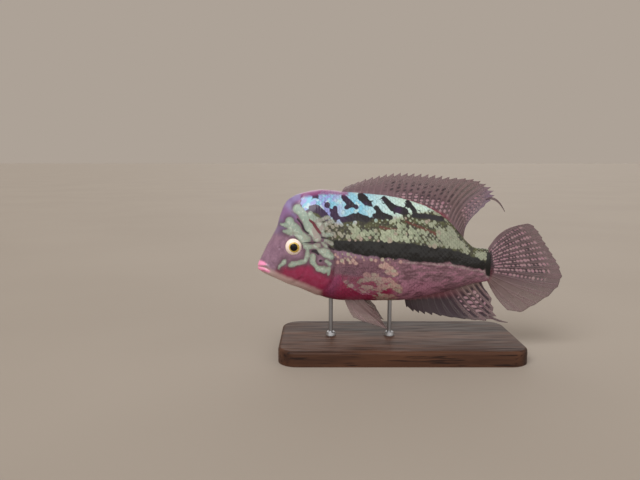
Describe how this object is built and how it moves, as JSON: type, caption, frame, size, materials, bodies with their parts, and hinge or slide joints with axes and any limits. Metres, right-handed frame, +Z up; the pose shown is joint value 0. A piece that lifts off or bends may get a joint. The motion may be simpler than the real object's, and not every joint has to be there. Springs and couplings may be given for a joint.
{
  "type": "flowerhorn cichlid model",
  "caption": "Life-size museum model of a male flowerhorn cichlid with a nuchal hump and trailing fins, held level over a flat base by short rods.",
  "frame": {"origin": "on the surface that the display base stands on, under the middle of the whole model", "axes": "+Z up; the snout points to -X and the tail to +X; the fish's left side faces -Y"},
  "size_m": [0.2515, 0.092, 0.1474],
  "materials": {
    "skin": "wet scaled skin, turquoise and grey-green pearls over a dark ground, with a black band along the side",
    "forehead": "wet smooth skin, mauve-grey with pale green strokes",
    "throat": "wet smooth skin, deep crimson with pink lips",
    "fin": "thin membrane over rays, smoky mauve with dark and pale dots",
    "clear_fin": "thin clear membrane over fine rays",
    "eye": "clear glossy cornea over a pale golden iris and a black pupil",
    "wood": "dark stained and waxed",
    "steel": "satin"
  },
  "bodies": {
    "root": {"head": "forehead", "nuchal_hump": "forehead", "lower_jaw": "throat", "gill_cover_left": "throat", "gill_cover_right": "throat", "torso": "skin", "tail_stem": "skin", "dorsal_fin": "fin", "anal_fin": "fin", "caudal_fin": "fin", "pelvic_fin_left": "fin", "pelvic_fin_right": "fin", "pectoral_fin_left": "clear_fin", "pectoral_fin_right": "clear_fin", "eye_left": "eye", "eye_right": "eye", "stand_base": "wood", "stand_rod_front": "steel", "stand_rod_rear": "steel"}
  },
  "joints": []
}
